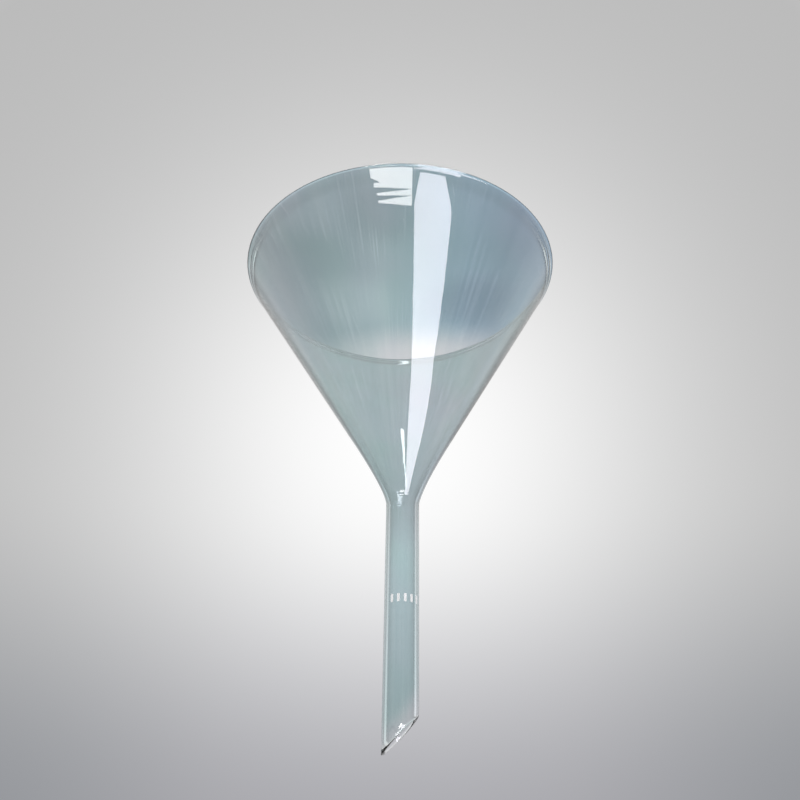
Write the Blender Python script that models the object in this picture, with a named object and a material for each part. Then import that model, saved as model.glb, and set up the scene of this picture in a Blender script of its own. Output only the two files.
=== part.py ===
"""Clear borosilicate filter funnel: a 60 degree cone with a beaded rim, a drawn stem and fired enamel.

Metres, +Z up. The funnel hangs stem down, as it does in a support ring, and the origin is on its
axis where the cone sits in that ring. A glass blower seals the stem to the cone, so there are two
glass pieces, bowl and stem, and a row of plain enamel bars is fired on to the stem.
"""
import math

import bmesh
import bpy
from mathutils import Matrix, Vector

MM = 0.001

# Driving dimensions
RIM_DIAMETER = 100.0 * MM            # over the bead
CONE_ANGLE = math.radians(60.0)      # whole angle of the cone
CONE_WALL = 1.8 * MM
BEAD_DIAMETER = 2.4 * MM             # round bead that the cone's edge is melted into
BEAD_LAND = 1.0 * MM                 # width of the flat land on top of the bead
STEM_DIAMETER = 9.3 * MM
STEM_WALL = 1.2 * MM
OVERALL_HEIGHT = 150.5 * MM          # rim to the stem's lowest point
TIP_ANGLE = math.radians(45.0)       # the stem's end is cut at this angle to its axis
NECK_FLARE_UP = 18.0 * MM            # the neck's flare runs this far up from the corner
NECK_FLARE_DOWN = 4.0 * MM           # and this far down the stem
RING_DIAMETER = 60.0 * MM            # support ring that the cone sits in
PIECE_GAP = 0.3 * MM                 # clearance between pieces that meet

# Enamel mark: plain upright bars, side by side around the stem
BAR_COUNT = 5
BAR_WIDTH = 0.8 * MM
BAR_HEIGHT = 2.2 * MM
BAR_PITCH = 1.80 * MM                # from bar to bar, around the stem
BAR_THICKNESS = 0.25 * MM
BARS_ABOVE_TIP = 38.5 * MM           # the bars' middle above the stem's lowest point
BARS_MIDDLE = math.radians(-78.5)    # direction that the middle bar faces, from +X

# Facets
BOWL_STEPS = 72
STEM_STEPS = 40
BEAD_STEPS = 7
FLARE_STEPS = 7
BAR_STEPS = 3
SMOOTH_BELOW = math.radians(35.0)

# Dimensions that follow
HALF_ANGLE = CONE_ANGLE / 2
RING_RADIUS = RING_DIAMETER / 2
STEM_RADIUS = STEM_DIAMETER / 2
BORE_RADIUS = STEM_RADIUS - STEM_WALL
BEAD_RADIUS = BEAD_DIAMETER / 2
WALL_ALONG_RADIUS = CONE_WALL / math.cos(HALF_ANGLE)
# The wall's middle runs through the bead's centre, and its outside meets the ring at z = 0
BEAD_R = RIM_DIAMETER / 2 - BEAD_RADIUS
BEAD_Z = (BEAD_R + WALL_ALONG_RADIUS / 2 - RING_RADIUS) / math.tan(HALF_ANGLE)
RIM_Z = BEAD_Z + math.sqrt(BEAD_RADIUS ** 2 - (BEAD_LAND / 2) ** 2)
TIP_Z = RIM_Z - OVERALL_HEIGHT
NECK_Z = (STEM_RADIUS - RING_RADIUS) / math.tan(HALF_ANGLE)
FLARE_TOP_Z = NECK_Z + NECK_FLARE_UP
SEAL_Z = NECK_Z - NECK_FLARE_DOWN


def clear_scene():
    for item in list(bpy.data.objects):
        bpy.data.objects.remove(item, do_unlink=True)


def material(name, colour, roughness, transmission=0.0, alpha=1.0):
    made = bpy.data.materials.new(name)
    made.use_nodes = True
    shader = made.node_tree.nodes["Principled BSDF"]
    shader.inputs["Base Color"].default_value = (*colour, 1.0)
    shader.inputs["Roughness"].default_value = roughness
    shader.inputs["Metallic"].default_value = 0.0
    shader.inputs["IOR"].default_value = 1.47
    shader.inputs["Transmission Weight"].default_value = transmission
    shader.inputs["Alpha"].default_value = alpha
    made.diffuse_color = (*colour, alpha)
    return made


def object_from(bm, name, finish=None):
    """The bmesh as a named object, its faces pointing out and its round sides shaded smooth."""
    bmesh.ops.recalc_face_normals(bm, faces=bm.faces)
    mesh = bpy.data.meshes.new(name)
    bm.to_mesh(mesh)
    bm.free()
    mesh.shade_smooth()
    mesh.set_sharp_from_angle(angle=SMOOTH_BELOW)
    if finish:
        mesh.materials.append(finish)
    made = bpy.data.objects.new(name, mesh)
    bpy.context.collection.objects.link(made)
    return made


def turned(name, profile, steps, finish):
    """A solid of revolution about Z from a closed profile of (radius, z) points."""
    bm = bmesh.new()
    points = [bm.verts.new((radius, 0.0, z)) for radius, z in profile]
    edges = [bm.edges.new((a, b)) for a, b in zip(points, points[1:] + points[:1])]
    bmesh.ops.spin(
        bm, geom=points + edges, axis=(0.0, 0.0, 1.0), angle=math.tau, steps=steps, use_merge=True
    )
    return object_from(bm, name, finish)


def arc(centre, radius, start, end, steps):
    angles = [start + (end - start) * i / steps for i in range(steps + 1)]
    return [(centre[0] + radius * math.cos(a), centre[1] + radius * math.sin(a)) for a in angles]


def bead_outside():
    """The bead's outer side, from the flat land down to the outside of the wall."""
    land_edge = math.acos(BEAD_LAND / 2 / BEAD_RADIUS)
    wall_edge = math.asin(CONE_WALL / 2 / BEAD_RADIUS) - math.pi / 2 - HALF_ANGLE
    return arc((BEAD_R, BEAD_Z), BEAD_RADIUS, land_edge, wall_edge, BEAD_STEPS)


def bead_inside():
    """The bead's inner side, from the inside of the wall up to the flat land."""
    wall_edge = 3 * math.pi / 2 - HALF_ANGLE - math.asin(CONE_WALL / 2 / BEAD_RADIUS)
    land_edge = math.pi - math.acos(BEAD_LAND / 2 / BEAD_RADIUS)
    return arc((BEAD_R, BEAD_Z), BEAD_RADIUS, wall_edge, land_edge, BEAD_STEPS)


def flare(stem_radius, inset):
    """One side of the neck: a parabola that leaves the cone's side and ends along the stem's."""
    slope = math.tan(HALF_ANGLE)
    start = Vector((RING_RADIUS - inset + FLARE_TOP_Z * slope, FLARE_TOP_Z))
    corner = Vector((stem_radius, (stem_radius + inset - RING_RADIUS) / slope))
    end = Vector((stem_radius, SEAL_Z))
    shares = [i / FLARE_STEPS for i in range(FLARE_STEPS + 1)]
    return [tuple(start * (1 - t) ** 2 + corner * 2 * t * (1 - t) + end * t * t) for t in shares]


def build_bowl(finish):
    """The cone: beaded rim, straight wall, and the flare down to where the stem is sealed on."""
    outside = bead_outside() + flare(STEM_RADIUS, 0.0)
    inside = flare(BORE_RADIUS, WALL_ALONG_RADIUS)[::-1] + bead_inside()
    return turned("bowl", outside + inside, BOWL_STEPS, finish)


def build_stem(finish):
    """The stem: a plain tube from the seal down, its end cut across at the tip's angle."""
    top = SEAL_Z - PIECE_GAP
    bottom = TIP_Z - STEM_DIAMETER
    profile = [(STEM_RADIUS, top), (STEM_RADIUS, bottom), (BORE_RADIUS, bottom), (BORE_RADIUS, top)]
    stem = turned("stem", profile, STEM_STEPS, finish)
    cut = stem.modifiers.new("bevelled tip", "BOOLEAN")
    cut.operation = "DIFFERENCE"
    cut.solver = "EXACT"
    cut.object = build_tip_cutter()
    return stem


def build_tip_cutter():
    """A block whose upper face is the bevel, which drops towards -X to the stem's lowest point."""
    size = 4 * STEM_DIAMETER
    bm = bmesh.new()
    bmesh.ops.create_cube(bm, size=size, matrix=Matrix.Translation((0.0, 0.0, -size / 2)))
    cutter = object_from(bm, "tip_cutter")
    cutter.location = (-STEM_RADIUS, 0.0, TIP_Z)
    cutter.rotation_euler = (0.0, -TIP_ANGLE, 0.0)
    cutter.hide_render = True
    cutter.display_type = "WIRE"
    return cutter


def build_enamel_bar(number, finish):
    """One upright bar, curved to the stem and standing just clear of it."""
    bm = bmesh.new()
    turn = (number - (BAR_COUNT + 1) / 2) * BAR_PITCH / STEM_RADIUS
    bar_angle = BAR_WIDTH / STEM_RADIUS
    start = BARS_MIDDLE + turn - bar_angle / 2
    low_z = TIP_Z + BARS_ABOVE_TIP - BAR_HEIGHT / 2
    low_r = STEM_RADIUS + PIECE_GAP
    section = [
        (low_r, low_z),
        (low_r + BAR_THICKNESS, low_z),
        (low_r + BAR_THICKNESS, low_z + BAR_HEIGHT),
        (low_r, low_z + BAR_HEIGHT),
    ]
    corners = [bm.verts.new((r * math.cos(start), r * math.sin(start), z)) for r, z in section]
    end_face = bm.faces.new(corners)
    bmesh.ops.spin(
        bm, geom=[end_face], axis=(0.0, 0.0, 1.0), angle=bar_angle, steps=BAR_STEPS, use_merge=False
    )
    return object_from(bm, f"enamel_bar_{number}", finish)


def main():
    clear_scene()
    glass = material("borosilicate_glass", (0.78, 0.87, 0.88), 0.02, transmission=1.0, alpha=0.35)
    enamel = material("white_enamel", (0.93, 0.94, 0.94), 0.35)
    build_bowl(glass)
    build_stem(glass)
    for number in range(1, BAR_COUNT + 1):
        build_enamel_bar(number, enamel)


main()
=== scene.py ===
import math

import bmesh
import bpy
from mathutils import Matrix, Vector


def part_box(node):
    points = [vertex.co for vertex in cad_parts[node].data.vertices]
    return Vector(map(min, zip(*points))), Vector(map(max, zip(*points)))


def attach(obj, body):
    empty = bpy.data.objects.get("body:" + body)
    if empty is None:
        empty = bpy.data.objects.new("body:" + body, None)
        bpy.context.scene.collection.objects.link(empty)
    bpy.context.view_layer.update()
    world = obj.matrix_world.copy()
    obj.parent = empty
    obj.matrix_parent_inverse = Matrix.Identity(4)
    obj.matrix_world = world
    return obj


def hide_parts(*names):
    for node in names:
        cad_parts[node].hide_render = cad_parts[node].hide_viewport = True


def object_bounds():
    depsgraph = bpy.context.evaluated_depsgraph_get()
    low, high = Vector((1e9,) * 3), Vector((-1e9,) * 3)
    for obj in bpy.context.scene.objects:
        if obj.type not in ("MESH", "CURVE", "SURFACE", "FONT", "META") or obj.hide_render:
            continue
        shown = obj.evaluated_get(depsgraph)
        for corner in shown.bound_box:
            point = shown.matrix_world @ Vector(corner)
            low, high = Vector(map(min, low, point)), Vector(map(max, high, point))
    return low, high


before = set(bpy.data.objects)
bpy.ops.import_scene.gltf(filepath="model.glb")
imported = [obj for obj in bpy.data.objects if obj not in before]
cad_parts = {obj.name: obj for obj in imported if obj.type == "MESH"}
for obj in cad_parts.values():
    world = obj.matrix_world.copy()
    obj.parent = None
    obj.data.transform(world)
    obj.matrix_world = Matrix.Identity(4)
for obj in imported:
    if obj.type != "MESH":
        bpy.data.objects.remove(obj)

# Glass filter funnel. The CAD model's bowl and stem are two glass pieces that a flame joins, so one
# continuous wall of glass stands for both. Lengths are in metres, in the CAD model's frame.

MM = 0.001
cad_low, cad_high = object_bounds()
stem_low, stem_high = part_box("stem")

# What the frame gives
RIM_Z = cad_high.z
RIM_RADIUS = cad_high.x
TIP_Z = cad_low.z
STEM_RADIUS = stem_high.x
SEAL_Z = stem_high.z

# The CAD model's cone and bead. The camera and the light cards are placed from the bead's middle
HALF_ANGLE = math.radians(30.0)
SLOPE = math.tan(HALF_ANGLE)
RING_RADIUS = 30.0 * MM              # the cone's outside at z = 0
CAD_WALL = 1.8 * MM
CAD_BEAD_RADIUS = 1.2 * MM
BEAD_R = RIM_RADIUS - CAD_BEAD_RADIUS
BEAD_Z = (BEAD_R + CAD_WALL / math.cos(HALF_ANGLE) / 2 - RING_RADIUS) / SLOPE
NECK_Z = (STEM_RADIUS - RING_RADIUS) / SLOPE
FLARE_TOP_Z = NECK_Z + 18.0 * MM

# The blown wall that is seen: the CAD model's outside, with a thinner wall and a slimmer bead
TOP_WALL = 1.15 * MM                 # under the rim
LOW_WALL = 0.8 * MM                  # it thins to this on its way down to the neck
STEM_WALL = 1.1 * MM
BORE_RADIUS = STEM_RADIUS - STEM_WALL
RIM_BEAD = 0.8 * MM                  # radius of the bead that the flame has rounded the edge into
BEAD_PROUD = 0.08 * MM               # the bead stands this far out of the wall's outside
RIM_SWELL = 5.0 * MM                 # on the inside the wall thickens to the bead over this length
CREASE = 0.12 * MM                   # a ring this far under the bead keeps its crease sharp
TILT_START = 12.0 * MM               # the stem's rings start to lean this far above the tip
NECK_SHIFT = 0.8 * MM                # the neck stands this far off the axis

# Dents inside the neck and finer crinkles above them. The last three lengths are in millimetres
DENT_DEPTH = 0.06 * MM
CRINKLE_DEPTH = 0.03 * MM
DENTS_RISE = 1.5 * MM                # from the seal up to the dents' middle
CRINKLES_RISE = 5.0                  # from there up to the crinkles' middle
DENTS_SPREAD = 1.6
CRINKLES_SPREAD = 2.2

# Facets
SEGMENTS = 192
BEAD_OUTER_STEPS = 14
BEAD_INNER_STEPS = 10
SWELL_STEPS = 16
CONE_STEPS = 34
FLARE_STEPS = 60
STEM_STEPS = 60
TIP_STEPS = 8
LIP_STEPS = 10

# Directions in the wall's section, and the middle of the bead at the wall's edge
ALONG_WALL = Vector((SLOPE, 1.0)).normalized()
ACROSS_WALL = Vector((ALONG_WALL.y, -ALONG_WALL.x))
BEAD_DEPTH = RIM_BEAD - BEAD_PROUD   # from the wall's outside in to the bead's middle
OUTSIDE_Z = RIM_Z - RIM_BEAD + ACROSS_WALL.y * BEAD_DEPTH
RIM_MIDDLE = Vector((RING_RADIUS + OUTSIDE_Z * SLOPE, OUTSIDE_Z)) - ACROSS_WALL * BEAD_DEPTH


# ---------------------------------------------------------------- glass mesh

def arc(centre, radius, start, end, steps):
    angles = [start + (end - start) * i / steps for i in range(steps + 1)]
    return [(centre[0] + radius * math.cos(a), centre[1] + radius * math.sin(a)) for a in angles]


def flare(stem_radius, inset):
    """One side of the neck: a parabola that leaves the cone's side and ends along the stem's."""
    start = Vector((RING_RADIUS - inset + FLARE_TOP_Z * SLOPE, FLARE_TOP_Z))
    corner = Vector((stem_radius, (stem_radius + inset - RING_RADIUS) / SLOPE))
    end = Vector((stem_radius, SEAL_Z))
    shares = [i / FLARE_STEPS for i in range(FLARE_STEPS + 1)]
    return [tuple(start * (1 - t) ** 2 + corner * 2 * t * (1 - t) + end * t * t) for t in shares]


def spaced(first, last, steps):
    """Points between two ends of a straight stretch, ends left out."""
    a, b = Vector(first), Vector(last)
    return [tuple(a.lerp(b, i / steps)) for i in range(1, steps)]


def outer_rim():
    """From the top of the bead round its outside, down to where it meets the wall's outside."""
    start = math.pi / 2
    end = -math.acos(BEAD_DEPTH / RIM_BEAD)
    turns = [start + (end - start) * i / BEAD_OUTER_STEPS for i in range(BEAD_OUTER_STEPS + 1)]
    rim = [ALONG_WALL * math.sin(a) + ACROSS_WALL * math.cos(a) for a in turns]
    return [tuple(RIM_MIDDLE + way * RIM_BEAD) for way in rim]


def inner_rim():
    """From the wall's inside up over a soft swelling to the top of the bead."""
    inner_side = TOP_WALL - BEAD_DEPTH
    points = []
    for i in range(SWELL_STEPS, 0, -1):
        below = i / SWELL_STEPS
        swell = (RIM_BEAD - inner_side) * math.cos(math.pi / 2 * below) ** 2
        across = ACROSS_WALL * (inner_side + swell)
        points.append(RIM_MIDDLE - ALONG_WALL * RIM_SWELL * below - across)
    for i in range(BEAD_INNER_STEPS):
        a = math.pi / 2 * i / BEAD_INNER_STEPS
        way = ALONG_WALL * math.sin(a) - ACROSS_WALL * math.cos(a)
        points.append(RIM_MIDDLE + way * RIM_BEAD)
    return [tuple(point) for point in points]


def wall_profile():
    """The wall's outline as (radius, z), from the top of the rim down the outside and back inside."""
    outer_edge = outer_rim()
    inner_edge = inner_rim()
    outer_flare = flare(STEM_RADIUS, 0.0)
    inner_flare = flare(BORE_RADIUS, LOW_WALL / math.cos(HALF_ANGLE))[::-1]
    lean_z = TIP_Z + TILT_START
    lip_r = STEM_WALL / 2
    lip = arc((STEM_RADIUS - lip_r, TIP_Z + lip_r), lip_r, 0.0, -math.pi, LIP_STEPS)
    outside = outer_edge + [tuple(Vector(outer_edge[-1]) - ALONG_WALL * CREASE)]
    outside += spaced(outside[-1], outer_flare[0], CONE_STEPS) + outer_flare
    outside += spaced(outer_flare[-1], (STEM_RADIUS, lean_z), STEM_STEPS)
    inside = spaced((BORE_RADIUS, lean_z), inner_flare[0], STEM_STEPS) + inner_flare
    inside += spaced(inner_flare[-1], inner_edge[0], CONE_STEPS) + inner_edge
    down = [(STEM_RADIUS, lean_z)] + spaced((STEM_RADIUS, lean_z), lip[0], TIP_STEPS)
    up = spaced(lip[-1], (BORE_RADIUS, lean_z), TIP_STEPS) + [(BORE_RADIUS, lean_z)]
    return outside + down + lip + up + inside


def drift(z):
    """Shift of a ring at z towards +X: most at the neck, and none at the rim and the tip."""
    if z > NECK_Z:
        return NECK_SHIFT * (RIM_Z - z) / (RIM_Z - NECK_Z)
    return NECK_SHIFT * (z - TIP_Z) / (NECK_Z - TIP_Z)


def leaned(x, z):
    """The stem's end leans to the 45 degree cut: height of a ring's point at x."""
    share = (TIP_Z + TILT_START - z) / TILT_START
    share = min(max(share, 0.0), 1.0)
    return z + share * (x + STEM_RADIUS)


def blown(angle, z, inner):
    """How far a blown wall wanders from round, as a share of the radius."""
    turn = 1.7 if inner else 0.0
    slow = 0.0007 * math.sin(2 * angle + 0.9 + turn + 18 * z)
    middle = 0.0004 * math.sin(3 * angle + 2.1 - turn + 35 * z)
    quick = 0.00018 * math.sin(7 * angle + 0.4 + 2 * turn + 60 * z)
    return slow + middle + quick


def seal_marks(angle, z, inner):
    """The small dents that the flame leaves inside the neck, in metres.

    They fade out towards the sides, so that the neck's outline stays smooth.
    """
    if not inner:
        return 0.0
    front = math.sin(angle) ** 4
    off = (z - SEAL_Z - DENTS_RISE) / MM
    dents = math.sin(5 * angle + 0.6) + 0.7 * math.sin(8 * angle + 2.3 + 0.9 * off)
    ring = math.exp(-(off / DENTS_SPREAD) ** 2) * (1 + 0.8 * dents)
    crinkles = math.sin(17 * angle + 2.1 * off) * math.cos(3.3 * off + 2 * math.sin(6 * angle))
    crinkles *= math.exp(-((off - CRINKLES_RISE) / CRINKLES_SPREAD) ** 2)
    return -front * (DENT_DEPTH * ring + CRINKLE_DEPTH * crinkles)


def build_glass():
    profile = wall_profile()
    count = len(profile)
    bm = bmesh.new()
    rings = []
    for i, (radius, z) in enumerate(profile):
        inner = i > count / 2
        ring = []
        for s in range(SEGMENTS):
            angle = math.tau * s / SEGMENTS
            r = radius * (1 + blown(angle, z, inner)) + seal_marks(angle, z, inner)
            x = r * math.cos(angle)
            ring.append(bm.verts.new((x + drift(z), r * math.sin(angle), leaned(x, z))))
        rings.append(ring)
    for i in range(count):
        upper, lower = rings[i], rings[(i + 1) % count]
        for s in range(SEGMENTS):
            n = (s + 1) % SEGMENTS
            bm.faces.new((upper[s], upper[n], lower[n], lower[s]))
    bmesh.ops.recalc_face_normals(bm, faces=bm.faces)
    return finish_mesh(bm, "funnel_glass")


def finish_mesh(bm, name):
    mesh = bpy.data.meshes.new(name)
    bm.to_mesh(mesh)
    bm.free()
    mesh.shade_smooth()
    made = bpy.data.objects.new(name, mesh)
    bpy.context.scene.collection.objects.link(made)
    return made


# ---------------------------------------------------------------- enamel

MARK_COUNT = 5
MARK_GAP = 0.012 * MM                # between the glass and the mark
MARK_THICKNESS = 0.05 * MM
MARK_HALF_WIDTH = 0.36 * MM
MARK_CORNER = 0.2 * MM               # radius of its corners
MARK_CORNER_STEPS = 4
MARK_SHARP = math.radians(40.0)      # its edges are sharp, its face and its sides are smooth


def mark_outline(half_height):
    """A round-cornered upright bar, as (turn around the stem, height) from its middle."""
    outline = []
    for side, end, start in ((1, 1, 0), (-1, 1, 90), (-1, -1, 180), (1, -1, 270)):
        for step in range(MARK_CORNER_STEPS + 1):
            a = math.radians(start + 90 * step / MARK_CORNER_STEPS)
            across = side * (MARK_HALF_WIDTH - MARK_CORNER) + MARK_CORNER * math.cos(a)
            up = end * (half_height - MARK_CORNER) + MARK_CORNER * math.sin(a)
            outline.append((across / STEM_RADIUS, up))
    return outline


def build_enamel(number):
    """A thin printed bar on the glass, where the CAD model has its thicker one."""
    node = f"enamel_bar_{number}"
    low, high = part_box(node)
    middle = (low + high) / 2
    angle = math.atan2(middle.y, middle.x)
    outline = mark_outline((high.z - low.z) / 2)
    bm = bmesh.new()
    inner_r = STEM_RADIUS + MARK_GAP
    layers = []
    for radius in (inner_r, inner_r + MARK_THICKNESS):
        layer = []
        for turn, up in outline:
            a = angle + turn
            r = radius * (1 + blown(a, middle.z, False))
            x = r * math.cos(a) + drift(middle.z + up)
            layer.append(bm.verts.new((x, r * math.sin(a), middle.z + up)))
        layers.append(layer)
    count = len(outline)
    for i in range(count):
        j = (i + 1) % count
        bm.faces.new((layers[0][i], layers[0][j], layers[1][j], layers[1][i]))
    bm.faces.new(layers[0])
    bm.faces.new(layers[1])
    bmesh.ops.recalc_face_normals(bm, faces=bm.faces)
    made = finish_mesh(bm, f"enamel_mark_{number}")
    made.data.set_sharp_from_angle(angle=MARK_SHARP)
    return made, node


# ---------------------------------------------------------------- materials

WHITE = (1.0, 1.0, 1.0)
BLACK = (0.0, 0.0, 0.0)

# The glass's tint, for one wall
CONE_TINT = (0.60, 0.67, 0.69)
LOW_TINT = (0.565, 0.63, 0.66)       # lower down the cone
STEM_TINT = (0.64, 0.73, 0.76)       # at the neck
LOW_STEM_TINT = (0.69, 0.79, 0.81)   # it lightens to this on its way down
TIP_TINT = (0.86, 0.87, 0.90)        # along the slanted cut
RIM_TINT = (0.62, 0.70, 0.72)
FAR_RIM_LIGHT_TINT = (0.84, 0.88, 0.89)    # on the rim's +Y side: painted light, tinted clearer so that the far rim looks pale
WEAR_GLINT_TINT = (0.95, 0.97, 0.98)       # of thin lines and scratches: a painted glint, lighter where they catch light
GLASS_IOR = 1.47


def opaque(colour):
    """A plain colour with its alpha. A socket stays as it is."""
    return (*colour, 1.0) if isinstance(colour, tuple) else colour


class Nodes:
    """Short calls for building a node tree."""

    def __init__(self, tree):
        self.tree = tree

    def add(self, kind, **settings):
        node = self.tree.nodes.new("ShaderNode" + kind)
        for key, value in settings.items():
            setattr(node, key, value)
        return node

    def link(self, output, socket):
        self.tree.links.new(output, socket)

    def feed(self, socket, value):
        if isinstance(value, bpy.types.NodeSocket):
            self.link(value, socket)
        else:
            socket.default_value = value

    def math(self, operation, *values):
        node = self.add("Math", operation=operation)
        for i, value in enumerate(values):
            self.feed(node.inputs[i], value)
        return node.outputs[0]

    def vector(self, operation, *values):
        node = self.add("VectorMath", operation=operation)
        for i, value in enumerate(values):
            self.feed(node.inputs[i], value)
        return node.outputs["Value" if operation in ("LENGTH", "DOT_PRODUCT") else "Vector"]

    def place(self, kind="Object"):
        return self.add("TexCoord").outputs[kind]

    def split(self, vector):
        node = self.add("SeparateXYZ")
        self.link(vector, node.inputs[0])
        return node.outputs

    def join(self, x, y, z):
        node = self.add("CombineXYZ")
        for i, value in enumerate((x, y, z)):
            self.feed(node.inputs[i], value)
        return node.outputs[0]

    def map(self, value, low, high, to_low=0.0, to_high=1.0, smooth=False):
        node = self.add("MapRange")
        if smooth:
            node.interpolation_type = "SMOOTHSTEP"
        self.feed(node.inputs["Value"], value)
        node.inputs["From Min"].default_value = low
        node.inputs["From Max"].default_value = high
        node.inputs["To Min"].default_value = to_low
        node.inputs["To Max"].default_value = to_high
        return node.outputs["Result"]

    def fade(self, value, start, end):
        """A soft step: 0 at the start and 1 at the end, which may lie either way of it."""
        return self.map(value, start, end, smooth=True)

    def noise(self, vector, scale, detail=2.0, rough=0.5, warp=0.0):
        node = self.add("TexNoise")
        self.feed(node.inputs["Vector"], vector)
        node.inputs["Scale"].default_value = scale
        node.inputs["Detail"].default_value = detail
        node.inputs["Roughness"].default_value = rough
        node.inputs["Distortion"].default_value = warp
        return node.outputs["Fac"]

    def mix(self, factor, first, second, blend="MIX"):
        node = self.add("Mix", data_type="RGBA", blend_type=blend)
        self.feed(node.inputs[0], factor)
        self.feed(node.inputs[6], opaque(first))
        self.feed(node.inputs[7], opaque(second))
        return node.outputs[2]

    def tone(self, factor, colour, multiplier):
        return self.mix(factor, colour, multiplier, "MULTIPLY")

    def ramp(self, value, stops):
        node = self.add("ValToRGB")
        self.link(value, node.inputs[0])
        elements = node.color_ramp.elements
        while len(elements) > 1:
            elements.remove(elements[-1])
        elements[0].position, elements[0].color = stops[0][0], (*stops[0][1], 1.0)
        for position, colour in stops[1:]:
            elements.new(position).color = (*colour, 1.0)
        return node.outputs[0]


def new_material(name):
    """A material, its Principled shader's sockets and its node tree."""
    made = bpy.data.materials.new(name)
    made.use_nodes = True
    return made, made.node_tree.nodes["Principled BSDF"].inputs, Nodes(made.node_tree)


def zone_tint(net, x, y, z):
    """The glass's plain tint: by height on the cone and stem, and clearer at the tip; the far rim is
    clearer too, as painted light.
    """
    on_stem = net.fade(z, NECK_Z - 3.0 * MM, NECK_Z - 20.0 * MM)
    cone_tint = net.mix(net.fade(z, -10.0 * MM, -33.0 * MM), CONE_TINT, LOW_TINT)
    stem_tint = net.mix(net.map(z, NECK_Z, TIP_Z), STEM_TINT, LOW_STEM_TINT)
    tint = net.mix(on_stem, cone_tint, stem_tint)
    above_cut = net.math("SUBTRACT", z, net.math("ADD", x, TIP_Z + STEM_RADIUS))
    tint = net.mix(net.fade(above_cut, 9.0 * MM, 1.0 * MM), tint, TIP_TINT)
    # Painted light: the rim's +Y side, the far rim, is tinted clearer
    rim_tint_and_light = net.mix(net.fade(y, 20.0 * MM, 44.0 * MM), RIM_TINT, FAR_RIM_LIGHT_TINT)
    tint = net.mix(net.fade(z, RIM_Z - 6.0 * MM, RIM_Z - 1.0 * MM), tint, rim_tint_and_light)
    # The cone's +Y side is toned a little darker
    return net.tone(net.fade(y, 12.0 * MM, 30.0 * MM), tint, (0.96, 0.96, 0.98))


def drawn_noise(net, around, height, across, along, detail, rough=0.5, warp=0.0):
    """Noise in streaks along the glass. More `across` packs them closer, more `along` shortens them."""
    x, y = net.split(around)[:2]
    round_scaled = [net.math("MULTIPLY", value, across) for value in (x, y)]
    streaked = net.join(*round_scaled, net.math("MULTIPLY", height, along))
    return net.noise(streaked, 1.0, detail, rough, warp)


def glass_material():
    """Clear glass with a faint teal tint, which is drawn out in streaks along the wall's slope."""
    made, shader, net = new_material("borosilicate_glass")
    place = net.place()
    x, y, z = net.split(place)
    around = net.vector("NORMALIZE", net.join(x, y, 0.0))
    height = net.map(z, -0.12, 0.04)
    tint = zone_tint(net, x, y, z)
    # Clouds of slightly different hue, tens of millimetres across
    clouds = net.noise(place, 32.0, warp=0.4)
    tint = net.tone(net.map(clouds, 0.40, 0.62), tint, (0.95, 1.0, 0.97))
    pinks = net.noise(net.vector("ADD", place, (0.3, 0.1, 0.7)), 26.0, warp=0.4)
    tint = net.tone(net.map(pinks, 0.50, 0.70), tint, (1.03, 0.98, 1.0))
    # Streaks from drawing the glass, along the cone's slope and the stem
    streaks = drawn_noise(net, around, height, 9.0, 1.6, 4.0, 0.6, 0.3)
    tint = net.tone(net.map(streaks, 0.35, 0.65), tint, (1.07, 1.05, 1.04))
    # Thin drawn lines, only here and there, and fine scratches across them
    patches = net.noise(net.vector("ADD", place, (0.9, 0.4, 0.2)), 45.0, 1.0)
    patches = net.map(patches, 0.45, 0.57)
    lines = net.map(drawn_noise(net, around, height, 95.0, 3.0, 1.0), 0.60, 0.70)
    turned = net.add("VectorRotate", rotation_type="Z_AXIS")
    net.link(around, turned.inputs["Vector"])
    net.link(net.math("MULTIPLY", z, 7.0), turned.inputs["Angle"])
    slanted = drawn_noise(net, turned.outputs[0], height, 75.0, 13.0, 0.0)
    scratches = net.map(slanted, 0.78, 0.84)
    wear_and_glint = net.math("MULTIPLY", net.math("MAXIMUM", lines, scratches), patches)
    # Painted glint: the lines and scratches lighten the tint where they would catch light; their roughness
    # is their own wear
    tint = net.mix(net.math("MULTIPLY", wear_and_glint, 0.55), tint, WEAR_GLINT_TINT)
    net.link(tint, shader["Base Color"])
    net.link(net.math("MULTIPLY", wear_and_glint, 0.22), shader["Roughness"])
    shader["IOR"].default_value = GLASS_IOR
    shader["Transmission Weight"].default_value = 1.0
    return made


def enamel_material():
    """White enamel, screened on and fired: slightly uneven in cover, with a fine grain."""
    made, shader, net = new_material("white_enamel")
    place = net.place()
    cover = net.map(net.noise(place, 900.0, 3.0, 0.6), 0.35, 0.65)
    net.link(net.mix(cover, (0.80, 0.83, 0.84), (0.95, 0.96, 0.96)), shader["Base Color"])
    grain = net.noise(place, 6000.0)
    net.link(net.map(grain, 0.3, 0.7, 0.35, 0.55), shader["Roughness"])
    bump = net.add("Bump")
    bump.inputs["Distance"].default_value = 0.01 * MM
    bump.inputs["Strength"].default_value = 0.6
    net.link(grain, bump.inputs["Height"])
    net.link(bump.outputs["Normal"], shader["Normal"])
    return made


# ---------------------------------------------------------------- camera

CAMERA_AT = Vector((0.0, -230.2 * MM, BEAD_Z - 189.8 * MM))
CAMERA_TO = Vector((0.0, 0.0, BEAD_Z - 47.5 * MM))
CAMERA_LENS = 40.2
SENSOR_WIDTH = 36.0


def build_camera():
    data = bpy.data.cameras.new("camera")
    data.lens = CAMERA_LENS
    data.sensor_width = SENSOR_WIDTH
    data.clip_start = 5.0 * MM
    camera = bpy.data.objects.new("camera", data)
    camera.location = CAMERA_AT
    camera.rotation_euler = (CAMERA_TO - CAMERA_AT).to_track_quat("-Z", "Y").to_euler()
    bpy.context.scene.collection.objects.link(camera)
    bpy.context.scene.camera = camera


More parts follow.
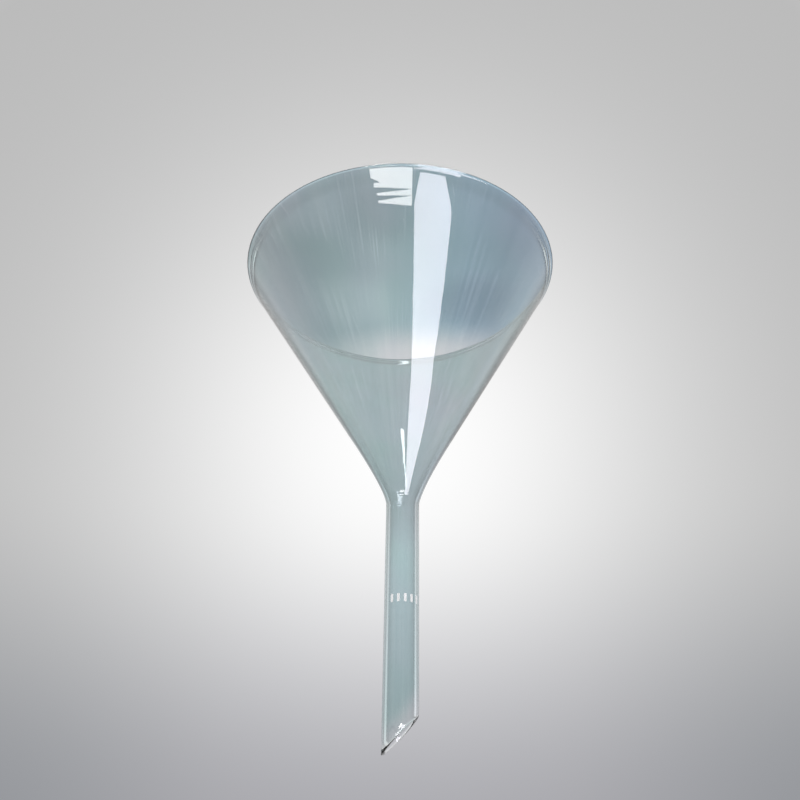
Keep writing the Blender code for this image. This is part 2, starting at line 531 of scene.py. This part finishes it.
# ---------------------------------------------------------------- light cards

CARDS_FACE = Vector((0.0, 0.0, BEAD_Z - 0.04))
COOL_WHITE = (0.95, 0.92, 1.0)
WINDOW_WHITE = (1.0, 0.98, 0.98)

# All card sizes are in millimetres, across to the right and up, from the point that faces the cone.
# The softbox is a tall panel with a wing to the right. Its top edge slopes up to the right, and a
# slit parts it from the band above, which draws the dark line along the rim.
SOFTBOX_TOP = 125.0                  # height of the top edge in the middle
SOFTBOX_TOP_SLOPE = 0.085
SOFTBOX_SLIT = 2.0
BAND_HEIGHT = 27.0
BAND_ENDS = (-100, 115)
RIM_CARD = [(20, 40), (100, 40), (135, 265), (30, 195)]
UPPER_CARD = [(-95, 15), (100, 15), (110, 95), (-70, 95)]
LOW_PANEL = [(-220, -8), (220, 1), (220, 9), (-220, -1)]
# The window: a pane, and under it three narrow ones that wedge-shaped slats part, wide at the left
PANE = [(-140, 76), (130, 76), (134, 46), (-50, 46), (-140, 54)]
PANES_RIGHT = 134
NARROW_PANES = (
    # left end, its bottom and top, then the right end's bottom and top
    (-120, 45, 49, 39, 46),
    (-105, 37.5, 39.5, 33, 39),
    (-100, 31, 33, 24, 33),
)
# The lamp: a narrow strip that starts straight and bends away to the left
LAMP_START = (-1.0, 19.0)
LAMP_LENGTH = 80.0
LAMP_HALF_WIDTH = 6.5
LAMP_LEAN = 0.5
LAMP_BEND = 0.0035
LAMP_STEPS = 8


def softbox_top(across):
    return SOFTBOX_TOP + SOFTBOX_TOP_SLOPE * across


def softbox_outlines():
    """The panel with its wing, and the band above the slit."""
    panel = [(-75, softbox_top(-75)), (40, softbox_top(40)), (100, 110), (165, 10), (300, -80)]
    panel += [(120, -100), (165, -340), (-35, -340), (-65, -170), (-45, -30), (-95, 95)]
    low_edge = [(across, softbox_top(across) + SOFTBOX_SLIT) for across in BAND_ENDS]
    high_edge = [(across, up + BAND_HEIGHT) for across, up in low_edge]
    return [panel, low_edge + high_edge[::-1]]


def window_outlines():
    """The pane and the narrow panes between the slats."""
    panes = [PANE]
    for left, left_low, left_high, right_low, right_high in NARROW_PANES:
        right = PANES_RIGHT
        panes.append([(left, left_high), (right, right_high), (right, right_low), (left, left_low)])
    return panes


def lamp_outline():
    """A strip of even width along a parabola."""
    middle = []
    for step in range(LAMP_STEPS + 1):
        down = LAMP_LENGTH * step / LAMP_STEPS
        across = LAMP_START[0] - LAMP_LEAN * down - LAMP_BEND * down ** 2
        middle.append((across, LAMP_START[1] - down))
    left = [(across - LAMP_HALF_WIDTH, up) for across, up in middle]
    right = [(across + LAMP_HALF_WIDTH, up) for across, up in middle]
    return right + left[::-1]


def direction(azimuth, elevation):
    """Unit vector from the funnel. Azimuth 0 is -Y, towards the camera, and turns towards +X."""
    a, e = math.radians(azimuth), math.radians(elevation)
    return Vector((math.sin(a) * math.cos(e), -math.cos(a) * math.cos(e), math.sin(e)))


def flat_card(name, outlines, finish):
    """Flat polygons in one object, from lists of (across, up) points."""
    bm = bmesh.new()
    for outline in outlines:
        bm.faces.new([bm.verts.new((across, up, 0.0)) for across, up in outline])
    card = finish_mesh(bm, name)
    card.data.materials.append(finish)
    card.visible_camera = False
    return card


def build_light(name, azimuth, elevation, distance, outlines, strength, colour=WHITE):
    """A light card that faces the cone. It shows only in what the glass mirrors."""
    made, shader, _ = new_material(name)
    shader["Base Color"].default_value = opaque(BLACK)
    shader["Emission Color"].default_value = opaque(colour)
    shader["Emission Strength"].default_value = strength
    sized = [[(across * MM, up * MM) for across, up in outline] for outline in outlines]
    card = flat_card(name, sized, made)
    card.location = CARDS_FACE + direction(azimuth, elevation) * distance
    card.rotation_euler = (card.location - CARDS_FACE).to_track_quat("Z", "Y").to_euler()
    card.visible_transmission = False
    card.visible_diffuse = False
    return card


def build_lights():
    build_light("softbox", 22.0, -23.0, 0.42, softbox_outlines(), 13.5, COOL_WHITE)
    # A small one close in front of the rim, which only the bead mirrors
    build_light("rim_light", 0.0, 0.0, 0.15, [RIM_CARD], 12.0, COOL_WHITE)
    build_light("upper_softbox", 29.0, 57.0, 0.42, [UPPER_CARD], 13.5, COOL_WHITE)
    # The window lights the enamel and the floor as well
    window = build_light("window", -5.0, -14.5, 0.60, window_outlines(), 14.5, WINDOW_WHITE)
    window.visible_diffuse = True
    build_light("small_lamp", 0.0, 89.9, 0.34, [lamp_outline()], 36.0)
    build_light("low_panel", -7.0, -2.8, 0.42, [LOW_PANEL], 20.0)


# ---------------------------------------------------------------- scrim: painted shade and light

SCRIM_RISE = 3.0 * MM                # the scrim lies this far above the rim
SCRIM_STEPS = 96
# Painted light: these tones lighten the scrim's near half and its near left
NEAR_LIGHT_TONE = (1.18, 1.13, 1.15)
NEAR_LEFT_LIGHT_TONE = (1.18, 1.13, 1.14)
LIGHT_PATCH = (1.0, 0.94, 0.96)      # what the far edge's light patch lets through

# Its painted shade from -X to +X, by the share of the mouth's width
SCRIM_SHADE_ACROSS = (
    (0.0, (0.50, 0.53, 0.56)), (0.2, (0.46, 0.54, 0.57)), (0.45, (0.60, 0.71, 0.74)),
    (0.72, (0.50, 0.63, 0.74)), (0.85, (0.42, 0.53, 0.64)), (1.0, (0.48, 0.58, 0.72)),
)
# Soft patches of painted shade (tones under 1) and painted light (tones over 1) on it: middle x and y,
# where it starts to fade, where it ends, and its tone
SCRIM_SHADE_AND_LIGHT_PATCHES = (
    (0.50, 0.27, 0.10, 0.42, (0.82, 0.81, 0.84)),
    (-0.08, -0.62, 0.10, 0.38, (0.82, 0.84, 0.84)),
    (-0.36, 0.25, 0.10, 0.40, (1.16, 1.13, 1.12)),
)


def spot(net, place, x, y, full, end, squeeze=1.0):
    """A soft round patch: 1 within `full` of its middle, 0 beyond `end`, as shares of the rim's radius."""
    off = net.vector("SUBTRACT", place, (x * RIM_RADIUS, y * RIM_RADIUS, 0.0))
    away = net.vector("LENGTH", net.vector("MULTIPLY", off, (squeeze, 1.0, 0.0)))
    return net.fade(away, end * RIM_RADIUS, full * RIM_RADIUS)


def build_shade_scrim():
    """A round scrim over the mouth, a sheet of painted shade and light. It darkens the backdrop that shows
    through the cone's near wall, with darker and lighter patches on it.
    """
    made, _, net = new_material("shade_scrim")
    place = net.place()
    x, y = net.split(place)[:2]
    colour = net.ramp(net.map(x, -RIM_RADIUS, RIM_RADIUS), SCRIM_SHADE_ACROSS)
    near = net.fade(y, -0.25 * RIM_RADIUS, -0.75 * RIM_RADIUS)
    colour = net.tone(near, colour, NEAR_LIGHT_TONE)
    left = net.fade(x, -0.25 * RIM_RADIUS, -0.55 * RIM_RADIUS)
    colour = net.tone(net.math("MULTIPLY", near, left), colour, NEAR_LEFT_LIGHT_TONE)
    # Painted shade and painted light, in soft patches and a light patch at the far edge
    for patch_x, patch_y, full, end, tone in SCRIM_SHADE_AND_LIGHT_PATCHES:
        colour = net.tone(spot(net, place, patch_x, patch_y, full, end), colour, tone)
    colour = net.mix(spot(net, place, 0.20, 0.96, 0.08, 0.50, 0.5), colour, LIGHT_PATCH)
    # Only where one wall lies in front of it: other ways through the glass miss it
    crossings = net.add("LightPath").outputs["Transmission Depth"]
    colour = net.mix(net.math("GREATER_THAN", crossings, 2.5), colour, WHITE)
    clear = net.add("BsdfTransparent")
    net.link(colour, clear.inputs["Color"])
    net.link(clear.outputs[0], made.node_tree.nodes["Material Output"].inputs["Surface"])
    # It is the mouth's outline as the camera sees it, a little further away
    scale = 1 + (RIM_Z + SCRIM_RISE - RIM_MIDDLE.y) / (RIM_MIDDLE.y - CAMERA_AT.z)
    radius = (RIM_MIDDLE.x + 0.6 * RIM_BEAD) * scale
    turns = [math.tau * i / SCRIM_STEPS for i in range(SCRIM_STEPS)]
    shade_scrim = flat_card("shade_scrim", [[(radius * math.cos(a), radius * math.sin(a)) for a in turns]], made)
    shade_scrim.location = Vector((0.0, -CAMERA_AT.y * (scale - 1), RIM_Z + SCRIM_RISE))
    shade_scrim.visible_glossy = False
    shade_scrim.visible_diffuse = False
    shade_scrim.visible_shadow = False


# ---------------------------------------------------------------- floor and backdrop

FLOOR_Z = BEAD_Z - 0.45
FLOOR_RADIUS = 30.0
FLOOR_STEPS = 96
FLOOR_COLOUR = (0.80, 0.80, 0.81)
FLOOR_GLOW = (1.0, 1.0, 1.01)
GLOW_START, GLOW_FULL = 0.8, 9.0     # the floor's own glow grows between these distances
HORIZON_LEVEL = 0.80                 # the light that the floor and the backdrop meet at

GLOW_ELEVATION = 29.0                # the middle of the glow behind the funnel, in degrees
GLOW_WIDTH = 17.0                    # degrees over which it falls off, as a bell curve
GLOW_BASE = 0.49                     # the backdrop's light where the glow has faded
GLOW_END = 34
GLOW_STEP = 2
# The room's light further round, by degrees away from the glow's middle
ROOM_LEVELS = ((42.0, 0.80), (60.0, 0.88), (95.0, 0.80), (130.0, 0.76), (180.0, 0.74))
# Behind the funnel the backdrop is toned: fully below the first elevation, not at all above the second
TONE_FULL, TONE_NONE = math.sin(math.radians(6.0)), math.sin(math.radians(25.0))
MIDDLE_TONE = (0.71, 0.71, 0.755)
ASIDE_TONE = (0.60, 0.62, 0.66)
RIGHT_TONE = (1.01, 1.06, 1.11)
LEFT_TONE = (0.87, 0.95, 0.97)


def build_floor():
    """A pale floor that glows a little far off, so that it meets the backdrop without a line."""
    bm = bmesh.new()
    bmesh.ops.create_circle(bm, cap_ends=True, radius=FLOOR_RADIUS, segments=FLOOR_STEPS)
    floor = finish_mesh(bm, "floor")
    floor.location.z = FLOOR_Z
    made, shader, net = new_material("pale_floor")
    far = net.fade(net.vector("LENGTH", net.place()), GLOW_START, GLOW_FULL)
    net.link(net.mix(far, FLOOR_COLOUR, BLACK), shader["Base Color"])
    shader["Emission Color"].default_value = opaque(FLOOR_GLOW)
    net.link(net.map(far, 0.0, 1.0, 0.0, HORIZON_LEVEL), shader["Emission Strength"])
    shader["Roughness"].default_value = 1.0
    shader["Specular IOR Level"].default_value = 0.0
    floor.data.materials.append(made)


def backdrop_levels():
    """The backdrop's light as (degrees from the glow's middle, level)."""
    levels = []
    for degrees in range(0, GLOW_END + 1, GLOW_STEP):
        bell = math.exp(-(degrees / GLOW_WIDTH) ** 2)
        levels.append((degrees, GLOW_BASE + (1 - GLOW_BASE) * bell))
    return levels + list(ROOM_LEVELS)


def build_world():
    """A soft glow behind the funnel, darker round it, and lighter again at the sides of the room."""
    world = bpy.data.worlds.new("studio")
    world.use_nodes = True
    net = Nodes(world.node_tree)
    towards = net.place("Generated")
    cosine = net.vector("DOT_PRODUCT", towards, -direction(0.0, -GLOW_ELEVATION))
    share = net.map(net.math("ARCCOSINE", cosine), 0.0, math.pi)
    glow = net.ramp(share, [(degrees / 180.0, (level,) * 3) for degrees, level in backdrop_levels()])
    x, y, up = net.split(towards)
    aside = net.math("ABSOLUTE", x)
    tone = net.mix(net.fade(aside, 0.15, 0.42), MIDDLE_TONE, ASIDE_TONE)
    tone = net.mix(net.fade(x, 0.43, 0.57), tone, RIGHT_TONE)
    tone = net.mix(net.fade(x, -0.43, -0.57), tone, LEFT_TONE)
    tone = net.mix(net.fade(aside, 0.76, 0.92), tone, WHITE)
    behind = net.fade(y, 0.0, 0.5)
    toned = net.math("MULTIPLY", net.fade(up, TONE_NONE, TONE_FULL), behind)
    light = net.tone(toned, glow, tone)
    net.link(light, world.node_tree.nodes["Background"].inputs["Color"])
    bpy.context.scene.world = world


def main():
    glass = build_glass()
    glass.data.materials.append(glass_material())
    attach(glass, "root")
    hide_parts("bowl", "stem")
    enamel = enamel_material()
    for number in range(1, MARK_COUNT + 1):
        mark, node = build_enamel(number)
        mark.data.materials.append(enamel)
        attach(mark, "root")
        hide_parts(node)
    build_camera()
    build_floor()
    build_world()
    build_lights()
    build_shade_scrim()
    bpy.context.scene.view_settings.view_transform = "Standard"


main()
